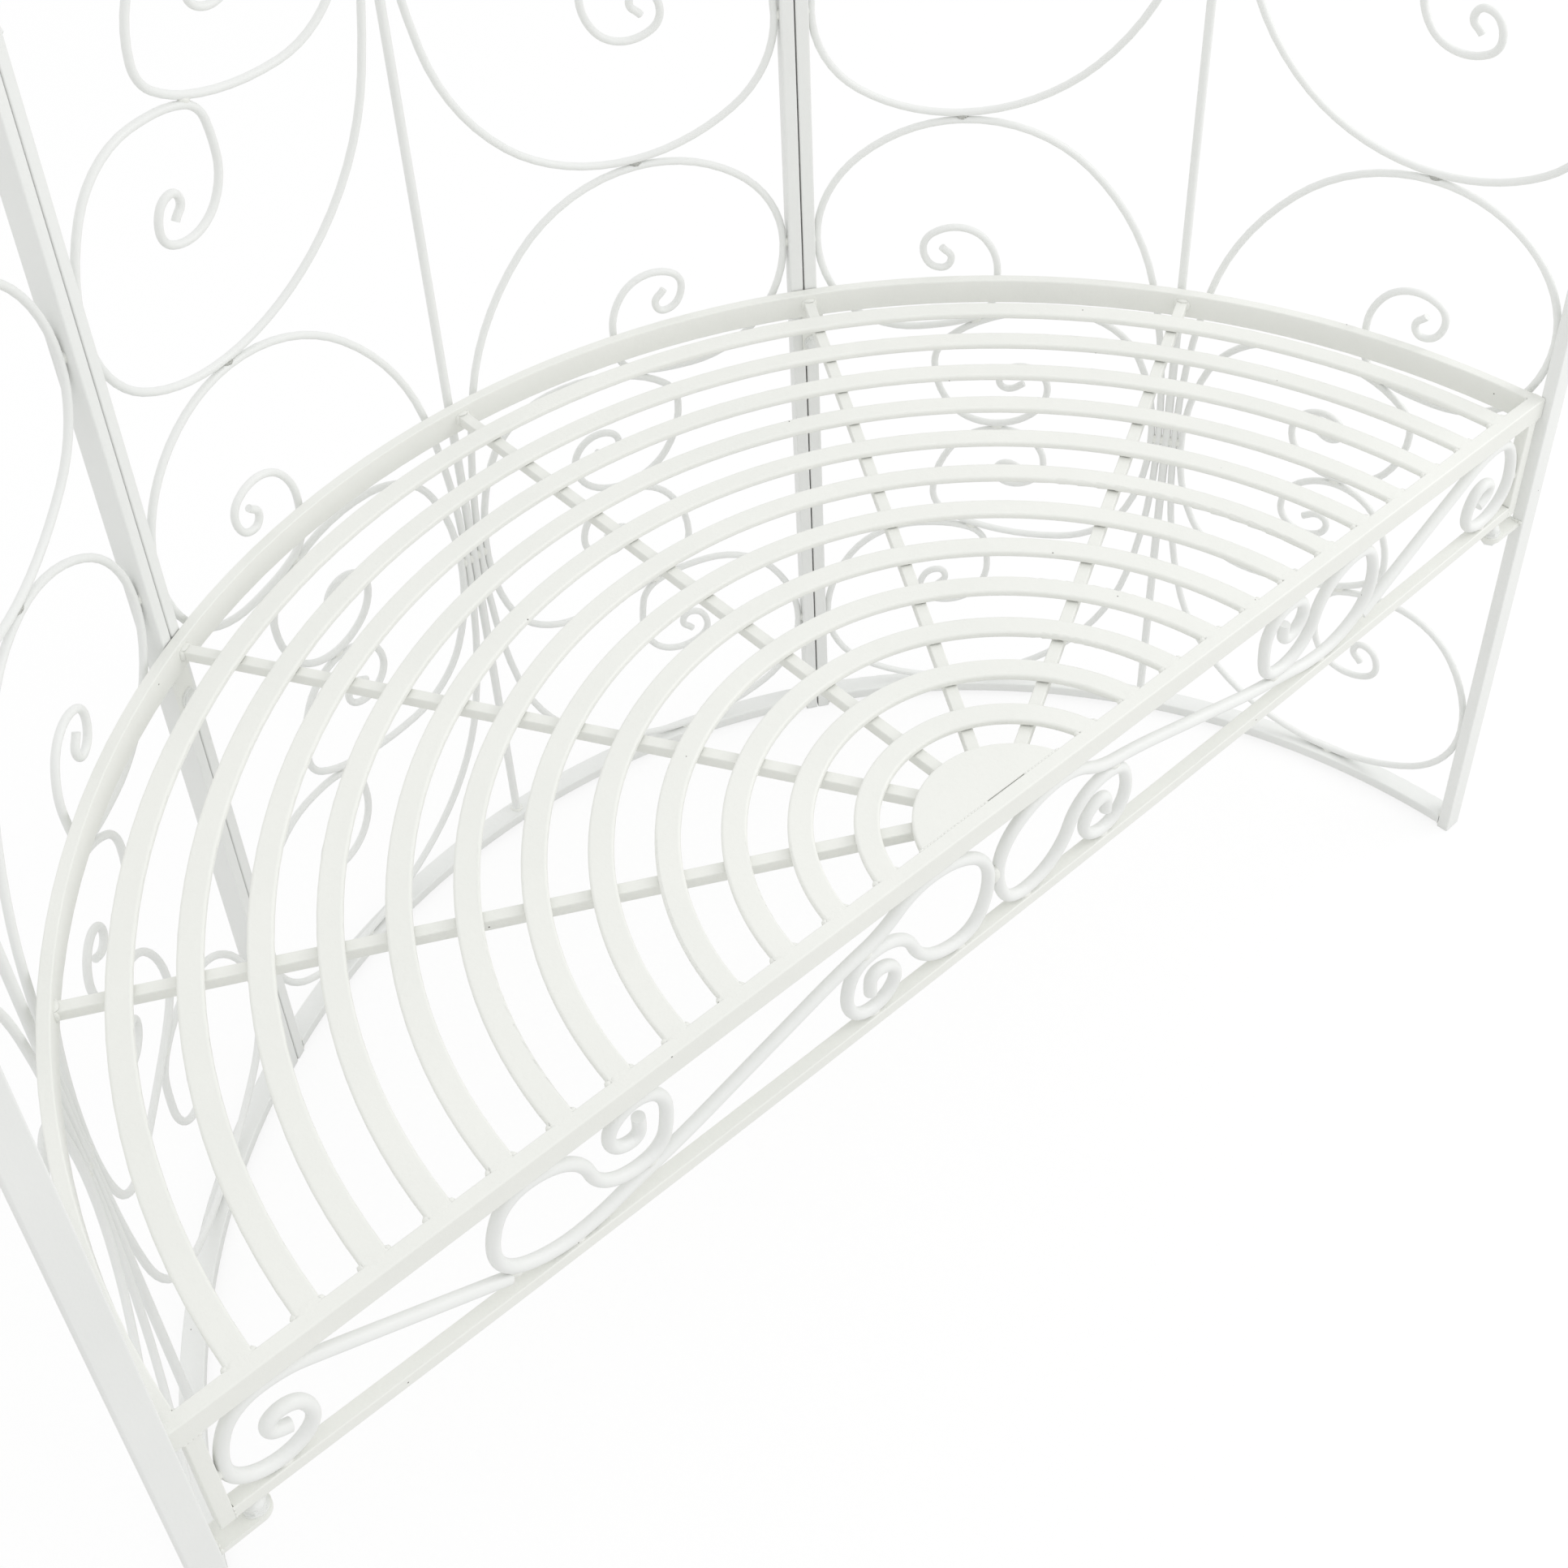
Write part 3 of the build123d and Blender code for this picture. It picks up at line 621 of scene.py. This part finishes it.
rim_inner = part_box("seat_rim")[1].y - centre.y - RIM_THICK
spoke_hub = centre + Vector((0, (bar_low.y + bar_high.y) / 2 - centre.y, seat_top - SLAT_THICK))
for number in range(SPOKES):
    angle = 180 * (number + 1) / (SPOKES + 1)
    rim_point = centre + heading(angle) * rim_inner + UP * (seat_top - SLAT_THICK)
    run = (rim_point - spoke_hub).normalized()
    beside = run.cross(UP)
    for edge in (-1, 1):
        place = rim_point + beside * edge * SPOKE_BAR / 2 - UP * SPOKE_BAR / 2
        weld_blob(seat_welds, place, UP, run, SPOKE_SIDE_BLOB)
    weld_blob(seat_welds, rim_point, beside, run, SPOKE_TOP_BLOB)
    # where the spoke's line comes nearest to the centre, and how far it misses it, squared
    nearest = -spoke_hub.xy.dot(run.xy) + centre.xy.dot(run.xy)
    miss = (spoke_hub.xy - centre.xy).length_squared - nearest ** 2
    for radius in slat_middles:
        crossing = spoke_hub + run * (nearest + math.sqrt(radius ** 2 - miss))
        for edge in (-1, 1):
            spot = crossing + beside * edge * SPOKE_BAR / 2 - UP * CROSSING_DROP
            weld_blob(seat_welds, spot, run, UP, CROSSING_SPOT, detail=1)
print("crossings welded:", SPOKES * len(slat_middles))

# %% [markdown]
# ## Welds of the rim and the centre plate
# The rim ends on the front bar under a flat cap like those of the slats, with a bead down the inner
# corner. The plate is welded along the bar too, except for a short slit right of its middle, which
# shows as a dark line. Leaving the bead out there lets the real gap show.

# %% Weld the rim and the plate
RIM_CAP = (0.0039, 0.0056, CAP_HALF)
RIM_SEAM = 0.0017
RIM_SEAM_BACK = 0.0005
RIM_SEAM_DROP = 0.003
RIM_SEAM_FOOT = 0.002
PLATE_SLIT = (-0.004, 0.030)
PLATE_SEAM = 0.0007
PLATE_SEAM_DROP = 0.0004

for side in (-1, 1):
    rim_end = Vector((side * (rim_inner + RIM_THICK / 2), bar_high.y, seat_top))
    weld_blob(seat_welds, rim_end - UP * CAP_SINK, RIGHT, BACK, RIM_CAP, detail=3)
    inner_corner = Vector((side * rim_inner, bar_high.y + RIM_SEAM_BACK, 0))
    seam_top = inner_corner + UP * (seat_top - RIM_SEAM_DROP)
    seam_foot = inner_corner + UP * (bar_low.z + RIM_SEAM_FOOT)
    weld_seam(seat_welds, seam_top, seam_foot, RIGHT, RIM_SEAM)

plate_low, plate_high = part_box("seat_centre_plate")
for start, end in ((plate_low.x, PLATE_SLIT[0]), (PLATE_SLIT[1], plate_high.x)):
    seam_start = Vector((start, bar_high.y, seat_top - PLATE_SEAM_DROP))
    weld_seam(seat_welds, seam_start, seam_start + RIGHT * (end - start), BACK, PLATE_SEAM)
finish_welds(seat_welds, "seat_welds")

# %% [markdown]
# ## The lie of the apron
# Under the front bar runs a band of thicker rod between the bar and a lower rail that bows down a
# little. Places on it are counted out from the middle of the bench, and up from the middle height
# of the band, so that one list serves the left and the right half.

# %% Measure the apron
APRON_ROD = 0.008
APRON_BAR = 0.009

lower_low, lower_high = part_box("apron_rail")
leg_low, leg_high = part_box("apron_right_leg")
leg_inner = leg_low.x
sag = lower_high.z - lower_low.z - APRON_BAR
band_middle = Vector((0, (bar_low.y + bar_high.y) / 2, (bar_low.z + lower_low.z + APRON_BAR) / 2))
end_side = leg_inner - WELD_GAP - APRON_ROD / 2


def on_rail(out):
    """Touching place on the bowed lower rail, this far from the middle of the bench."""
    return out, lower_high.z - sag * (1 - (out / leg_inner) ** 2) - band_middle.z, 0


def under_bar(out):
    """Touching place under the front bar, this far from the middle of the bench."""
    return out, bar_low.z - band_middle.z, 0


print(f"lower rail bows {sag:.4f} m")

# %% [markdown]
# ## Where the apron rods touch
# The band is made of two long waves, with a roll at each end. A wave meets the bar above, the rail
# below and itself, and a roll meets the bar, the rail, the wave's tail and the leg. The places could
# be searched for in the solids, but a short list in the same three numbers is easier to follow.

# %% List where the apron rods touch
WAVE_CENTRE = 0.187
WAVE_SELF_OUT = 0.0808
WAVE_SELF_INNER_UP = 0.0147
WAVE_SELF_OUTER_UP = -0.0211
WAVE_SELF_LEAN = -11
WAVE_CROWN_OUT = 0.1335
WAVE_FLOOR_OUT = 0.158
WAVE_CURL_OUT = 0.087
END_TAIL_OUT = 0.3603
END_TAIL_UP = -0.0255
END_TAIL_LEAN = 28
END_CROWN_BACK = 0.0284
END_FLOOR_BACK = 0.0275
END_SIDE_UP = -0.002

band_touches = [
    under_bar(WAVE_CENTRE - WAVE_CROWN_OUT),
    under_bar(WAVE_CENTRE + WAVE_FLOOR_OUT),
    under_bar(WAVE_CENTRE + WAVE_CURL_OUT),
    under_bar(end_side - END_CROWN_BACK),
    on_rail(WAVE_CENTRE + WAVE_CROWN_OUT),
    on_rail(WAVE_CENTRE - WAVE_FLOOR_OUT),
    on_rail(WAVE_CENTRE - WAVE_CURL_OUT),
    on_rail(end_side - END_FLOOR_BACK),
    (WAVE_CENTRE - WAVE_SELF_OUT, WAVE_SELF_INNER_UP, WAVE_SELF_LEAN),
    (WAVE_CENTRE + WAVE_SELF_OUT, WAVE_SELF_OUTER_UP, WAVE_SELF_LEAN),
    (END_TAIL_OUT, END_TAIL_UP, END_TAIL_LEAN),
    (leg_inner, END_SIDE_UP, 90),
]
print("touching places in half the apron:", len(band_touches))

# %% [markdown]
# ## Welds of the apron rods
# Every touching place gets a blob, and a bigger one sits where the two waves meet in the middle.
# The same helper as for the panels places them, with a thicker blob for the thicker rod.

# %% Weld the apron rods
BAND_BLOB = (0.0048, 0.0032, 0.0036)
MIDDLE_BLOB = (0.0070, 0.0042, 0.0042)
MIDDLE_DROP = 0.002

apron_welds = bmesh.new()
weld_blob(apron_welds, band_middle - UP * MIDDLE_DROP, UP, RIGHT, MIDDLE_BLOB)
for side in (-1, 1):
    for out, up, lean in band_touches:
        slope = math.radians(lean)
        along = RIGHT * side * math.cos(slope) + UP * math.sin(slope)
        across = UP * math.cos(slope) - RIGHT * side * math.sin(slope)
        place = band_middle + RIGHT * side * out + UP * up
        weld_blob(apron_welds, place, along, across, BAND_BLOB)
print("blobs on the apron rods:", 1 + 2 * len(band_touches))

# %% [markdown]
# ## Welds of the drop legs and the tabs
# A short leg drops from each end of the front bar to the lower rail, and a flat tab on each end post
# carries the rail's end. These joints are straight, so they get beads in place of single blobs.

# %% Weld the legs and the tabs
LEG_SEAM = 0.0012
LEG_SEAM_REACH = 0.45
LEG_SEAM_BACK = 0.0006
FOOT_SEAM = 0.0008
FOOT_SEAM_BACK = 0.0004
FOOT_SEAM_INSET = 0.001
TAB_SEAM = 0.0016
TAB_SEAM_INSET = 0.0006

for side in (-1, 1):
    leg_half = RIGHT * LEG_SEAM_REACH * (leg_high.x - leg_inner)
    leg_top = Vector((side * (leg_inner + leg_high.x) / 2, leg_low.y + LEG_SEAM_BACK, bar_low.z))
    weld_seam(apron_welds, leg_top - leg_half, leg_top + leg_half, UP, LEG_SEAM)
    foot = Vector((side * leg_inner, leg_low.y + FOOT_SEAM_BACK, 0))
    foot_low = foot + UP * (leg_low.z + FOOT_SEAM_INSET)
    foot_high = foot + UP * (lower_high.z - FOOT_SEAM_INSET)
    weld_seam(apron_welds, foot_low, foot_high, RIGHT, FOOT_SEAM)
    tab_low, tab_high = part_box("front_left_tab" if side < 0 else "front_right_tab")
    tab_edge = Vector((side * (clear_radius - TAB_SEAM_INSET), 0, tab_high.z))
    weld_seam(apron_welds, tab_edge + BACK * tab_low.y, tab_edge + BACK * tab_high.y, UP, TAB_SEAM)
finish_welds(apron_welds, "apron_welds")
